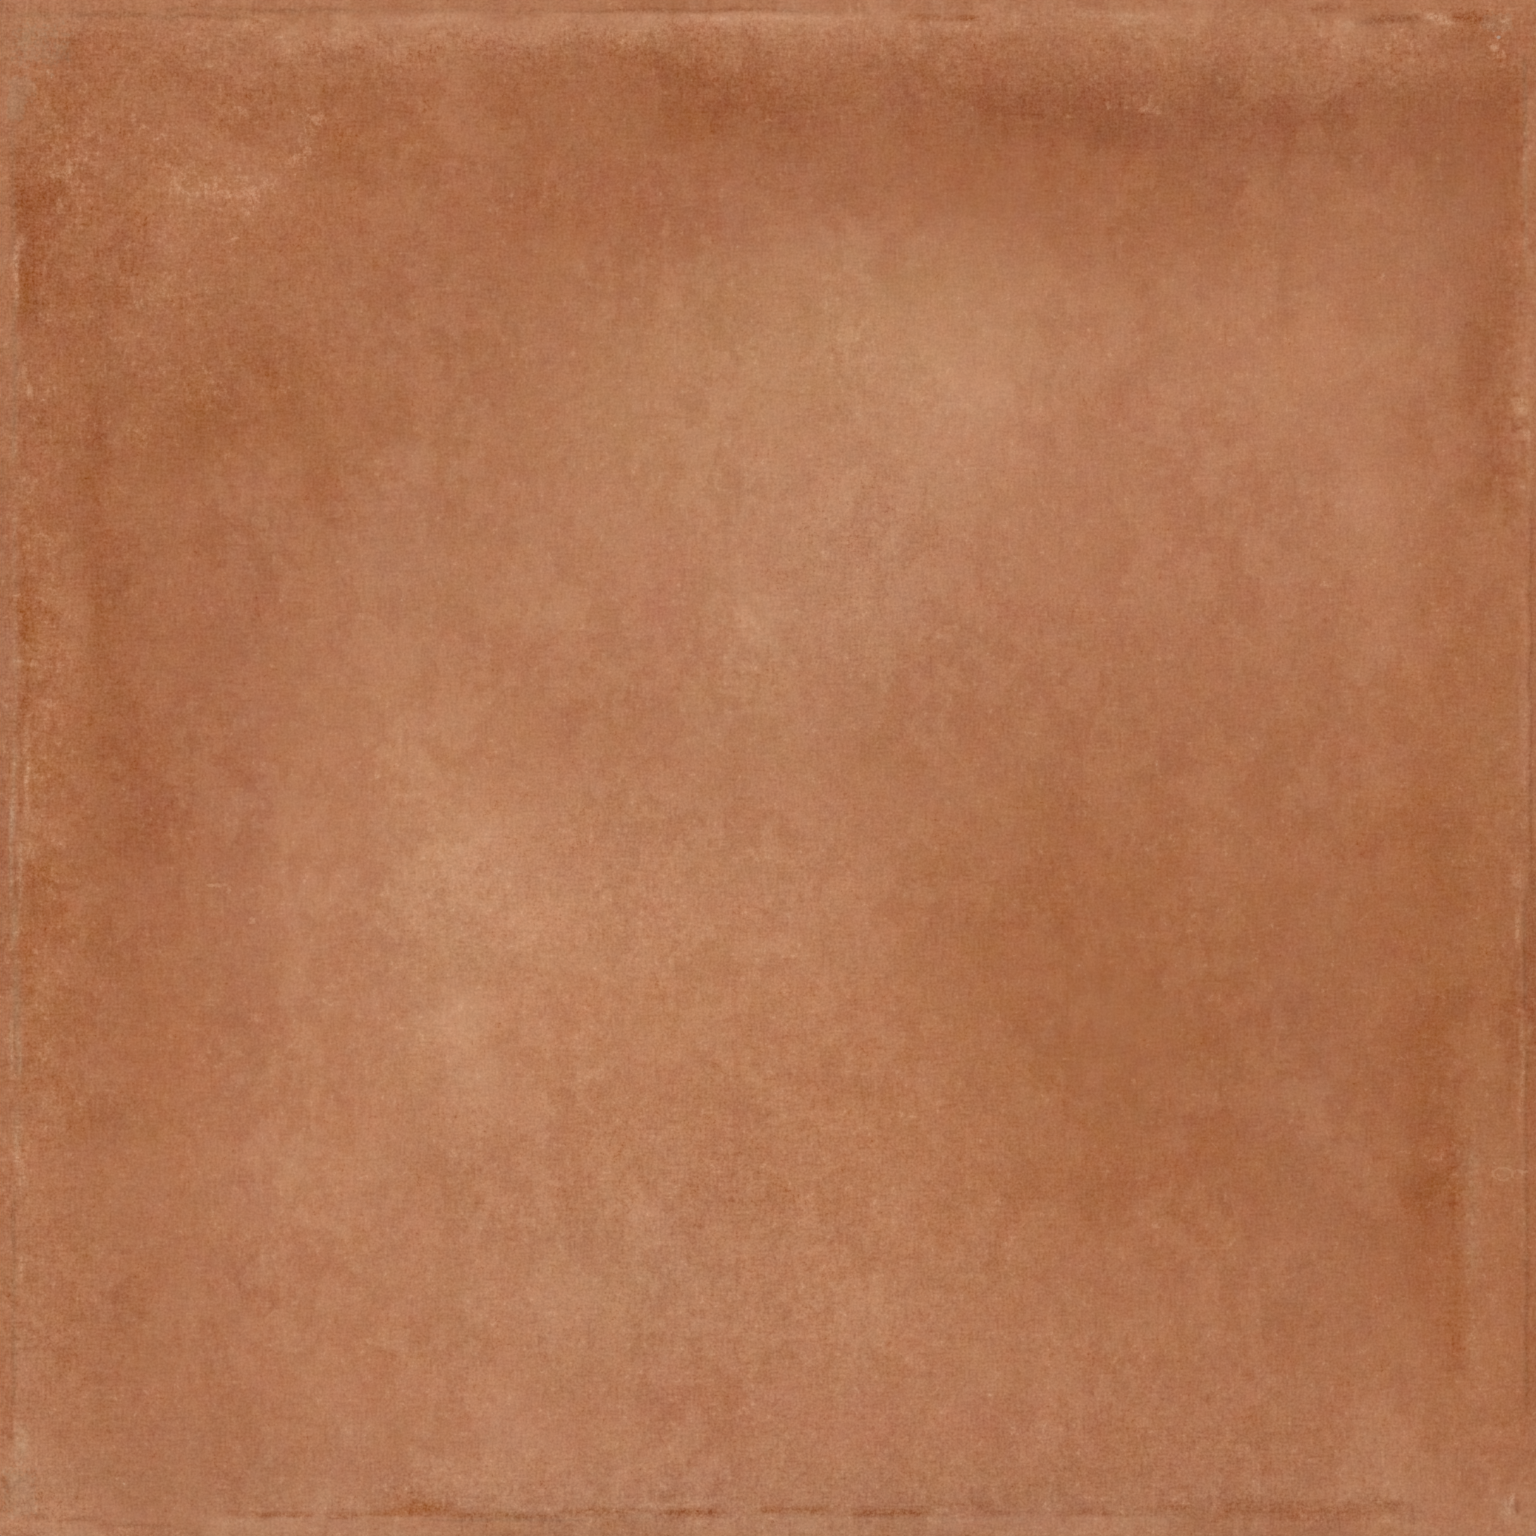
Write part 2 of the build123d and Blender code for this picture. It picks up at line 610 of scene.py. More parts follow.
# Small pale marks inside the edges, each by its middle and half sizes: spots, a ring, a bluish spot
PALE_SPOTS = (
    (-90.5, 78, 0.6, 1.2),
    (-71.2, -15.2, 1.6, 0.3),
    (-69.9, -15.9, 0.35, 0.6),
    (-66.8, -19.8, 0.45, 0.6),
    (50.3, -59.3, 0.5, 0.4),
    (49.6, 86, 0.5, 1.1),
    (48.7, 85.4, 0.7, 0.5),
    (50.4, 85.2, 0.7, 0.5),
    (44.2, 85.9, 0.5, 0.5),
    (42.5, 89.6, 0.4, 0.3),
    (94.3, 93.3, 0.4, 0.5),
    (95.4, 92.3, 0.4, 0.4),
    (97.7, -52.3, 1.0, 0.3),
    (-96.3, 51.2, 0.5, 1.2),
    (-95.6, 48.8, 0.5, 1.0),
    (-96.8, 13.8, 0.6, 0.3),
    (-95.4, 13.5, 0.3, 0.6),
)
PALE_RING = (95.2, -52.6, 1.3, 0.8)
BLUISH_SPOT = (94.7, 94.7, 0.3, 0.28)

# Marks drawn along the edges of the face: start and end along the side, inset from the outline,
# half width, strength and greyness. Left and right run down from the top, the others from the left.
EDGE_STROKES = {
    "left": (
        # Grey-brown line along the cushion's inner line
        (83, 66, 2.2, 0.35, -6, 4),
        (61, 40, 2.3, 0.35, -3, 4),
        (-55, -82, 2.3, 0.35, -7, 4),
        # Dark clay just inside it
        (84, 70, 3.6, 0.9, -3, 0),
        (55, 8, 3.8, 0.8, -2, 0),
        (80, 68, 3.6, 1.2, -3, 0),
        (66, 58, 3.6, 0.9, -5, -1),
        (29, 6, 3.7, 0.9, -5, -1),
        (-20, -39, 4.3, 0.8, -3, -1),
        # Pale worn lip, broken
        (67.5, 60, 2.65, 0.35, 24, 1),
        (68.6, 67.4, 3.3, 0.6, 20, 1),
        (56, 54.5, 2.8, 0.5, 12, 1),
        (51.5, 50, 2.7, 0.4, 18, 1),
        (49.5, 48, 4.1, 0.4, 16, 1),
        (43, 40, 2.6, 0.4, 11, 2),
        (38, 35, 3.4, 0.9, 8, 1),
        (33, 29, 2.3, 0.3, 9, 2),
        (28.5, 27, 2.8, 0.5, 12, 1),
        (31, 20, 2.4, 0.25, 4, 2),
        (20, 5, 2.5, 0.25, 6, 2),
        (14.3, 13.2, 2.8, 0.6, 17, 1),
        (16, 11, 5.2, 0.8, 4, 0),
        (3.6, -8, 2.3, 0.3, 9, 4),
        (7, -7, 4.0, 0.3, 15, 1),
        (7, -7, 3.2, 0.4, -6, 1),
        (2.4, 0.8, 3.0, 0.5, 7, 1),
        (-9.8, -11.6, 4.6, 1.2, 9, 1),
        (-4, -17, 1.95, 0.3, 12, 5),
        (-10, -17, 3.2, 0.3, 18, 3),
        (-11, -17, 2.6, 0.25, -7, 2),
        (-17, -24, 2.4, 0.5, 4, 5),
        (-25, -34, 2.6, 0.6, 0, 6),
        (-34, -40, 3.0, 0.35, 11, 6),
        (-34, -40, 2.5, 0.25, -5, 4),
        (-33, -39.5, 1.95, 0.25, 12, 4),
        (-44, -51, 2.8, 0.6, 11, 4),
        (-50, -54.5, 3.2, 0.7, 12, 1),
        (-63, -66, 3.2, 0.5, 15, 1),
        (-85, -90, 3.3, 1.0, 9, 4),
        (88.5, 84, 2.7, 1.6, 3, 2),
        # Paler rim at the very edge: painted light, against the shade on the cushion's steepest outer
        # slope
        (97, 74, 0.4, 0.6, 3, -1),
        (28, 2, 0.4, 0.6, 2, -1),
        (-26, -92, 0.4, 0.6, 2, -1),
        # Edges of the wash, further in
        (50, 12, 13.2, 1.3, -5, 0),
        (46, 14, 10.4, 1.5, 3, 0),
    ),
    "right": (
        (92, 81, 1.8, 0.35, -7, 5),
        (81, 66, 1.8, 0.35, 3, 4),
        (55, 53, 2.8, 0.6, 8, 1),
        (48, 46, 2.3, 0.8, 13, 1),
        (46, 37, 1.3, 0.2, 8, 1),
        (45, 43.5, 3.2, 0.9, -7, 1),
        (33, -12, 1.2, 0.25, -11, 2),
        (27, 8, 2.0, 0.5, 5, 0),
        (8, -9, 2.0, 0.5, 7, 0),
        (-4, -12, 0.6, 0.7, 6, 0),
        (-12, -16, 3.0, 0.9, 12, 0),
        (-9, -36, 0.9, 0.7, -9, 0),
        (-17, -32, 1.9, 0.3, -8, 3),
        (-18.5, -23, 2.8, 0.4, 15, 0),
        (-33, -35, 1.3, 0.35, 13, 1),
        (-33, -47, 2.4, 0.35, 9, 1),
        (-36, -47, 1.8, 0.25, -7, 3),
        (-47, -82, 1.7, 0.3, -9, 3),
        (-51, -53, 4.4, 0.8, 8, 2),
        (-16, -45, 2.3, 0.3, 5, 0),
        (-47, -80, 2.2, 0.25, 3, 1),
        (-94.5, -97, 4.4, 0.9, 10, 3),
        (-94, -95.4, 3.6, 0.35, 20, 1),
        (-95, -96.6, 3.0, 0.3, -14, 1),
        # Edges of the wash, further in
        (-49, -66, 8.8, 1.0, 8, 3),
        (-66, -82, 8.5, 1.0, 4, 1),
        (-40, -78, 10.9, 1.0, -5, 0),
    ),
    "top": (
        (-97, -91, 2.5, 0.35, -6, 3),
        (-90, -80, 2.3, 0.4, -8, 3),
        (-80, -67, 2.6, 0.4, -11, 3),
        (-78, -68, 1.6, 0.3, -4, 3),
        (-67, -54, 1.9, 0.35, -10, 3),
        (-54, -34, 1.9, 0.35, -3, 2),
        (-33, -20.5, 2.0, 0.3, -7, 2),
        (-20.5, 3, 1.9, 0.35, -12, 2),
        (3, 13, 2.0, 0.35, -6, 2),
        (-50, -37, 3.0, 0.7, 7, 0),
        (-21, 13, 2.9, 0.6, 5, 0),
        (17, 25, 2.7, 0.5, -10, -1),
        (25, 27, 2.9, 0.4, -22, -1),
        (40, 51, 2.5, 0.4, 9, 0),
        (45, 52, 3.3, 0.3, 8, 0),
        (70, 74.5, 1.7, 0.5, -13, 0),
        (78, 84.5, 2.7, 0.6, -20, 2),
        (80, 82, 3.6, 0.4, 13, 1),
        (85, 88, 2.8, 0.6, 20, 2),
        (88.5, 92.5, 2.8, 0.5, -20, 0),
        (74, 77.5, 3.6, 0.6, 8, 1),
        (76.5, 79, 3.4, 0.4, -14, 2),
        (82, 85, 2.1, 0.4, 10, 1),
        (84.3, 86, 3.4, 0.4, -14, 1),
        (86.5, 89, 3.6, 0.4, 13, 1),
        (90, 92, 2.1, 0.3, -14, 0),
    ),
    "bottom": (
        (-96, -93, 2.9, 0.4, -13, 1),
        (-92, -86.5, 2.7, 0.4, -11, 1),
        (-86.5, -77, 1.9, 0.4, -10, 2),
        (-71, -67, 2.2, 0.6, 9, 1),
        (-66.5, -59, 3.2, 0.35, -17, -2),
        (-57, -53, 3.1, 0.5, -19, -2),
        (-52, -47.5, 3.4, 0.35, -13, -2),
        (-47.5, -41, 3.9, 0.9, -16, -3),
        (-41, -33, 3.1, 0.45, -14, -2),
        (-33, -27, 2.9, 0.4, -15, -2),
        (-27, -16.5, 3.6, 0.5, -12, -2),
        (-14, -6, 3.5, 0.5, -20, -2),
        (-17, -9, 4.5, 0.5, 8, 0),
        (-15, -6, 5.8, 0.25, -8, 0),
        (-1, 8, 3.9, 0.45, -17, -2),
        (11, 21, 3.4, 0.5, -19, -2),
        (21, 29, 4.6, 0.6, -10, -1),
        (29, 32, 3.4, 0.4, -9, 0),
        (39, 44.5, 3.5, 0.45, -11, -1),
        (49.5, 55, 4.2, 0.6, -11, -1),
        (58, 82, 4.0, 0.9, -7, -1),
        (79, 81, 2.7, 0.5, 11, 0),
        # Thin pale line under the dark ones, and a thin dark one
        (-64, -57, 2.6, 0.3, 3, 1),
        (-50, -44, 2.7, 0.25, 3, 1),
        (-18, -13, 3.0, 0.35, 3, 1),
        (-4, 6, 3.0, 0.3, 3, 1),
        (13, 20, 2.8, 0.25, 3, 1),
        (20, 34, 2.6, 0.3, 3, 1),
        (-45, -24, 2.4, 0.2, -4, 3),
        # Paler rim at the very edge: painted light, against the shade on the cushion's steepest outer
        # slope
        (-90, -78, 0.7, 0.5, 5, -1),
        (-74, -38, 0.7, 0.5, 3, -1),
        (-16, 16, 0.7, 0.5, 3, -2),
        (26, 54, 0.7, 0.5, 4, -1),
        (76, 98, 0.7, 0.5, 3, -1),
    ),
}


def cloud(x, y, size, seed):
    """Smooth noise from -1 to 1: random heights on a square lattice with cells of that size.

    A quintic ease, 6t^5 - 15t^4 + 10t^3, joins them both ways.
    """
    lattice = np.random.default_rng(seed).uniform(-1, 1, (LATTICE_CELLS, LATTICE_CELLS))
    u, v = x / size + LATTICE_START[0], y / size + LATTICE_START[1]
    column, row = np.floor(u).astype(int), np.floor(v).astype(int)
    u, v = u - column, v - row
    u, v = (t**3 * (t * (6 * t - 15) + 10) for t in (u, v))
    near, far = column % LATTICE_CELLS, (column + 1) % LATTICE_CELLS
    below, above = row % LATTICE_CELLS, (row + 1) % LATTICE_CELLS
    lower = lattice[near, below] * (1 - u) + lattice[far, below] * u
    upper = lattice[near, above] * (1 - u) + lattice[far, above] * u
    return lower * (1 - v) + upper * v


def ripple(x, y, waves, seed):
    """Sum over the waves of each one's height times the cloud of its size."""
    return sum(height * cloud(x, y, size, seed + n) for n, (size, height) in enumerate(waves))


def swell(x, y, waves, seed):
    """How far a surface lies below its highest point: the top of a ripple, less the ripple."""
    height = ripple(x, y, waves, seed)
    return height.max() - height


def soft_patches(x, y, patches, power=2):
    """Sum over the patches of strength times exp(-|u|^power - |v|^power).

    Here u and v are how many of a patch's half sizes a point lies from its middle, across and up.
    """
    total = np.zeros_like(x)
    for across, up, half_width, half_height, strength in patches:
        u = np.abs((x - across) / half_width)
        v = np.abs((y - up) / half_height)
        total += strength * np.exp(-(u**power) - v**power)
    return total


def ease(t):
    """Smooth step from 0 to 1 as t goes from 0 to 1: 3t^2 - 2t^3, level outside."""
    t = np.clip(t, 0, 1)
    return t * t * (3 - 2 * t)


def cushion_depth(inset):
    """Depth of the cushion's arc below the face: R - sqrt(R^2 - s^2), s out from its inner line."""
    reach = np.clip(CUSHION_WIDTH - inset, 0, CUSHION_WIDTH)
    return CUSHION_RADIUS - np.sqrt(CUSHION_RADIUS**2 - reach**2)


def back_lines():
    """Places of the lines across the back: close at the pockets' edges, wider over ribs and rim."""
    steps = np.array(POCKET_STEPS)
    half_pocket = POCKET_SIDE / 2
    pocket = np.concatenate([steps - half_pocket, [0], half_pocket - steps[::-1]])
    centres = (np.arange(POCKETS_PER_SIDE) - (POCKETS_PER_SIDE - 1) / 2) * RIB_PITCH
    ribs = centres[:-1] + RIB_PITCH / 2
    rim = HALF_SIDE - DRAFT_INSET - HEEL_EASE - np.array(RIM_STEPS)
    return np.sort(np.concatenate([np.add.outer(centres, pocket).ravel(), ribs, rim, -rim]))


def face_lines(count):
    """Places of as many lines across the face, crowded towards its edges.

    Their density is 1 + C exp(-(s / R)^2), s in from the edge, C the crowding and R its reach.
    """
    edge = HALF_SIDE - ARRIS_EASE
    across = np.linspace(-edge, edge, DENSITY_SAMPLES)
    density = 1 + EDGE_CROWDING * np.exp(-(((edge - np.abs(across)) / CROWDING_REACH) ** 2))
    passed = np.concatenate([[0], np.cumsum((density[1:] + density[:-1]) / 2)])
    return np.interp(np.linspace(0, passed[-1], count), passed, across)


def round_corners(x, y, half, radius):
    """Draws a square's corners onto arcs.

    Within a radius of a corner, u becomes u sqrt(1 - v^2 / 2), and v likewise.
    """
    u = np.clip((np.abs(x) - half + radius) / radius, 0, 1)
    v = np.clip((np.abs(y) - half + radius) / radius, 0, 1)
    x = x - np.sign(x) * radius * u * (1 - np.sqrt(1 - v**2 / 2))
    y = y - np.sign(y) * radius * v * (1 - np.sqrt(1 - u**2 / 2))
    return x, y


def face_surface(lines):
    """The face over a square of lines: level, less the deeper of two cushions and the firing's swell."""
    x, y = np.meshgrid(lines, lines, indexing="ij")
    x, y = round_corners(x, y, lines[-1], CORNER_RADIUS)
    cushion = np.maximum(cushion_depth(HALF_SIDE - np.abs(x)), cushion_depth(HALF_SIDE - np.abs(y)))
    z = THICKNESS - cushion - swell(x, y, FACE_SWELL, seed=11)
    return np.stack([x, y, z], axis=-1)


def back_surface(lines):
    """The back over a square of lines: rib tops at nothing, and an eased wall up to each pocket's floor.

    The depth within a pocket follows the distance in from a square with rounded corners.
    """
    x, y = np.meshgrid(lines, lines, indexing="ij")
    x, y = round_corners(x, y, lines[-1], HEEL_CORNER_RADIUS)
    straight = POCKET_SIDE / 2 - POCKET_CORNER_RADIUS
    u = np.abs((x + FIELD_HALF) % RIB_PITCH - RIB_PITCH / 2) - straight
    v = np.abs((y + FIELD_HALF) % RIB_PITCH - RIB_PITCH / 2) - straight
    outside = np.hypot(np.maximum(u, 0), np.maximum(v, 0)) + np.minimum(np.maximum(u, v), 0)
    inside = POCKET_CORNER_RADIUS - outside
    in_field = np.maximum(np.abs(x), np.abs(y)) < FIELD_HALF
    depth = POCKET_DEPTH * ease((inside + WALL_EASE) / (POCKET_WALL + 2 * WALL_EASE))
    z = np.where(in_field, depth, 0) + swell(x, y, SIDE_SWELL, seed=31) * BACK_SWELL_SHARE
    z[[0, -1], :] = 0
    z[:, [0, -1]] = 0
    return np.stack([x, y, z], axis=-1)


def rim_of(grid):
    """A square grid's border, once round and anticlockwise from above, starting at its lowest corner."""
    return np.concatenate([grid[:-1, 0], grid[-1, :-1], grid[:0:-1, -1], grid[0, :0:-1]])


def side_rings(upper_lines, lower_lines):
    """Rings from the arris down to the heel: each is the outline, inset and rounded, at one height.

    On the way down, places along a ring go over from the face's lines to the back's.
    The swell only draws a ring in.
    """
    heel = DRAFT_INSET * 0.9
    profile = (
        # inset, height, share of the back's lines, corner radius
        (0.0, CUSHION_BASE - 0.12, 0.0, CORNER_RADIUS),
        (0.0, CUSHION_BASE - 0.7, 0.1, CORNER_RADIUS),
        (0.0, (CUSHION_BASE + DRAFT_RISE) / 2, 0.4, CORNER_RADIUS),
        (0.0, DRAFT_RISE + 0.4, 0.6, CORNER_RADIUS),
        (0.06, DRAFT_RISE - 0.3, 0.7, CORNER_RADIUS * 0.9),
        (heel, DRAFT_RISE * (1 - heel / DRAFT_INSET), 0.95, HEEL_CORNER_RADIUS),
        (DRAFT_INSET + HEEL_EASE * 0.25, 0.06, 1.0, HEEL_CORNER_RADIUS),
    )
    rings = []
    for inset, height, share, radius in profile:
        half = HALF_SIDE - inset
        lines = (1 - share) * upper_lines / upper_lines[-1]
        lines = half * (lines + share * lower_lines / lower_lines[-1])
        x, y = np.meshgrid(lines, lines, indexing="ij")
        x, y = round_corners(x, y, half, radius)
        rings.append(rim_of(np.stack([x, y, np.full_like(x, height)], axis=-1)))
    rings = np.array(rings)
    along = np.arctan2(rings[..., 1], rings[..., 0]) * HALF_SIDE
    drawn_in = 1 - swell(along, rings[..., 2] * SIDE_SQUEEZE, SIDE_SWELL, seed=51) / HALF_SIDE
    rings[..., :2] *= drawn_in[..., None]
    return rings


def quads_of(grid):
    """The four vertex numbers of each cell of a grid of vertex numbers, anticlockwise from above."""
    return np.stack([grid[:-1, :-1], grid[1:, :-1], grid[1:, 1:], grid[:-1, 1:]], axis=-1).reshape(-1, 4)


def corners_of(grid):
    """The four corners of each cell of a grid of places, in the order of quads_of."""
    return np.stack([grid[:-1, :-1], grid[1:, :-1], grid[1:, 1:], grid[:-1, 1:]], axis=-2).reshape(-1, 2)


def bake_places(face, back, side_lines, ring_heights):
    """Places of every corner of every quad on the piece's own flat map, as shares of its width.

    The face takes a large square, the back a small one beside it, and the four sides lie as strips
    above the face.
    """
    face_share, back_share, strip, gap = 0.755, 0.215, 0.042, 0.01
    face_map = gap + (face[..., :2] / HALF_SIDE + 1) / 2 * face_share
    back_map = (back[..., :2] / HALF_SIDE + 1) / 2 * back_share + np.array([face_share + 2 * gap, gap])
    along = gap + (side_lines / side_lines[-1] + 1) / 2 * face_share
    corners = [corners_of(face_map)]
    for side in range(4):
        up = face_share + 2 * gap + side * (strip + gap) + ring_heights / THICKNESS * strip
        corners.append(corners_of(np.stack(np.meshgrid(along, up, indexing="ij"), axis=-1)))
    turned_over = corners_of(back_map).reshape(-1, 4, 2)[:, ::-1]
    return np.concatenate([*corners, turned_over.reshape(-1, 2)])


def smooth_mesh(name, points, quads):
    """A mesh from places in millimetres and each quad's vertex numbers, smooth up to the sharp angle."""
    mesh = bpy.data.meshes.new(name)
    mesh.vertices.add(len(points))
    mesh.vertices.foreach_set("co", (points * MM).ravel())
    mesh.loops.add(quads.size)
    mesh.loops.foreach_set("vertex_index", quads.ravel())
    mesh.polygons.add(len(quads))
    mesh.polygons.foreach_set("loop_start", np.arange(0, quads.size, 4, dtype=np.int32))
    mesh.update(calc_edges=True)
    mesh.shade_smooth()
    mesh.set_sharp_from_angle(angle=SHARP_ANGLE)
    return mesh


def dressed_tile(face_finish, body_finish):
    """One closed mesh: the face's grid, rings down the sides and the back's grid, with shared borders."""
    lower_lines = back_lines()
    count = len(lower_lines)
    upper_lines = face_lines(count)
    face, back = face_surface(upper_lines), back_surface(lower_lines)
    rings = side_rings(upper_lines, lower_lines)
    points = np.concatenate([part.reshape(-1, 3) for part in (face, rings, back)])

    face_numbers = np.arange(count * count).reshape(count, count)
    ring_numbers = count * count + np.arange(rings[..., 0].size).reshape(rings.shape[:2])
    back_numbers = ring_numbers[-1, -1] + 1 + face_numbers
    belt = np.concatenate([[rim_of(face_numbers)], ring_numbers, [rim_of(back_numbers)]])
    belt = np.concatenate([belt, belt[:, :1]], axis=1)
    face_quads = quads_of(face_numbers)
    side_quads = quads_of(belt[::-1].T)
    back_quads = quads_of(back_numbers)[:, ::-1]
    quads = np.concatenate([face_quads, side_quads, back_quads]).astype(np.int32)

    mesh = smooth_mesh("dressed_tile", points, quads)
    mesh.materials.append(face_finish)
    mesh.materials.append(body_finish)
    is_body = np.arange(len(quads)) >= len(face_quads)
    mesh.polygons.foreach_set("material_index", is_body.astype(np.int32))

    heights = np.concatenate([[0], rings[::-1, 0, 2], [CUSHION_BASE]])
    places = bake_places(face, back, upper_lines, heights)
    mesh.uv_layers.new(name="OFBake").data.foreach_set("uv", places.astype(np.float32).ravel())

    spare = np.zeros(len(points) - face_numbers.size)
    for name, field in face_fields(face[..., 0], face[..., 1], upper_lines).items():
        layer = mesh.attributes.new(name, "FLOAT", "POINT")
        layer.data.foreach_set("value", np.concatenate([field.ravel(), spare]).astype(np.float32))

    piece = bpy.data.objects.new("dressed_tile", mesh)
    bpy.context.scene.collection.objects.link(piece)
    return piece


def side_places(x, y, side):
    """For one side of the face, how far each point lies along it, and in from it by a wavering rule."""
    outward, along = {"left": (-x, y), "right": (x, y), "top": (y, x), "bottom": (-y, x)}[side]
    # The sides' names differ in length, which gives each side a waver of its own
    waver = ripple(along, 0 * along, EDGE_WAVER, seed=81 + 10 * len(side))
    return along, HALF_SIDE - outward + waver


def reach_along(along, start, end, softness):
    """1 from the start to the end, whichever is lower, with both ends eased over the softness."""
    first, last = min(start, end), max(start, end)
    return ease((along - first) / softness + 0.5) * ease((last - along) / softness + 0.5)


def edge_strips(x, y, tone):
    """The tone with each strip laid over it: its own tone outside its inset, eased at its line."""
    for side, strips in EDGE_STRIPS.items():
        along, inset = side_places(x, y, side)
        for start, end, limit, strip_tone in strips:
            length = reach_along(along, start, end, STRIP_END_EASE)
            share = length * ease((limit - inset) / STRIP_LINE_EASE + 0.5)
            tone = tone + STRIP_COVER * share * (strip_tone - tone)
    return tone


def edge_strokes(x, y):
    """Pale marks, dark marks and greyness along the edges; some pale ones are painted light on the
    cushion's outer slope.

    A stroke is its strength times exp(-s^2), s its half widths away from its inset, tapered at its ends.
    """
    pale, dark, grey = np.zeros((3, *x.shape))
    for side, strokes in EDGE_STROKES.items():
        along, inset = side_places(x, y, side)
        for start, end, place, half_width, strength, greyness in strokes:
            taper = min(TAPER_SHARE * abs(end - start) + TAPER_LEAST, TAPER_MOST)
            length = reach_along(along, start, end, taper)
            mark = length * np.exp(-(((inset - place) / half_width) ** 2))
            pale += mark * max(strength, 0)
            dark += mark * min(strength, 0)
            grey += mark * greyness
    return pale, dark, grey


def face_fields(x, y, lines):
    """The face's painted fields at its points: patches, on places that clouds stir a little, and edges.

    The tone's slopes across and up, in steps to the millimetre, let the material feather the clouds.
    """
    stirred_x = x + ripple(x, y, PATCH_STIR, seed=71)
    stirred_y = y + ripple(x, y, PATCH_STIR, seed=73)
    tone = WASH_BASE + soft_patches(stirred_x, stirred_y, WASH_ZONES, ZONE_POWER)
    tone += soft_patches(stirred_x, stirred_y, WASH_PATCHES)
    tone *= WASH_CONTRAST
    slope_across, slope_up = np.gradient(tone, lines, lines)
    tone = edge_strips(x, y, tone)
    pale, dark, grey = edge_strokes(x, y)
    return {
        "tone": tone,
        "slope_across": slope_across,
        "slope_up": slope_up,
        "pale_strokes": pale,
        "dark_strokes": dark,
        "greyness": soft_patches(stirred_x, stirred_y, GREY_PATCHES) + grey,
        "grain": 1 + soft_patches(stirred_x, stirred_y, GRAIN_PATCHES),
        "scuff": np.clip(soft_patches(stirred_x, stirred_y, SCUFF_PATCHES), 0, SCUFF_MOST),
        "pits": np.clip(soft_patches(stirred_x, stirred_y, PIT_PATCHES), 0, PITS_MOST),
        "olive": soft_patches(stirred_x, stirred_y, OLIVE_PATCHES) + OLIVE_WITH_GREY * np.abs(grey),
        "film": soft_patches(x, y, FILM_PATCHES, ZONE_POWER),
    }


def display_to_linear(colour):
    """A display colour from 0 to 255 as linear light, by the sRGB curve's power part, from 12 up."""
    return ((np.clip(colour, 12, 255) / 255 + 0.055) / 1.055) ** 2.4


class Value:
    """A shader socket that adds a Math node for each operator it meets in a Python expression."""

    def __init__(self, finish, socket):
        self.finish = finish
        self.socket = socket

    def math(self, operation, *values):
        """A Math node on those numbers and sockets."""
        return self.finish.node("Math", dict(enumerate(values)), operation=operation)

    def __add__(self, other):
        return self.math("ADD", self, other)

    def __sub__(self, other):
        return self.math("SUBTRACT", self, other)

    def __mul__(self, other):
        return self.math("MULTIPLY", self, other)

    def __rsub__(self, other):
        return self.math("SUBTRACT", other, self)

    def __abs__(self):
        return self.math("ABSOLUTE", self)

    __radd__ = __add__
    __rmul__ = __mul__

    def least(self, other):
        """The lower of the two."""
        return self.math("MINIMUM", self, other)

    def step(self, start, end):
        """0 below start and 1 above end, eased between them; a start above the end turns it over."""
        sockets = {"Value": self, "From Min": start, "From Max": end}
        return self.finish.node("MapRange", sockets, interpolation_type="SMOOTHSTEP")


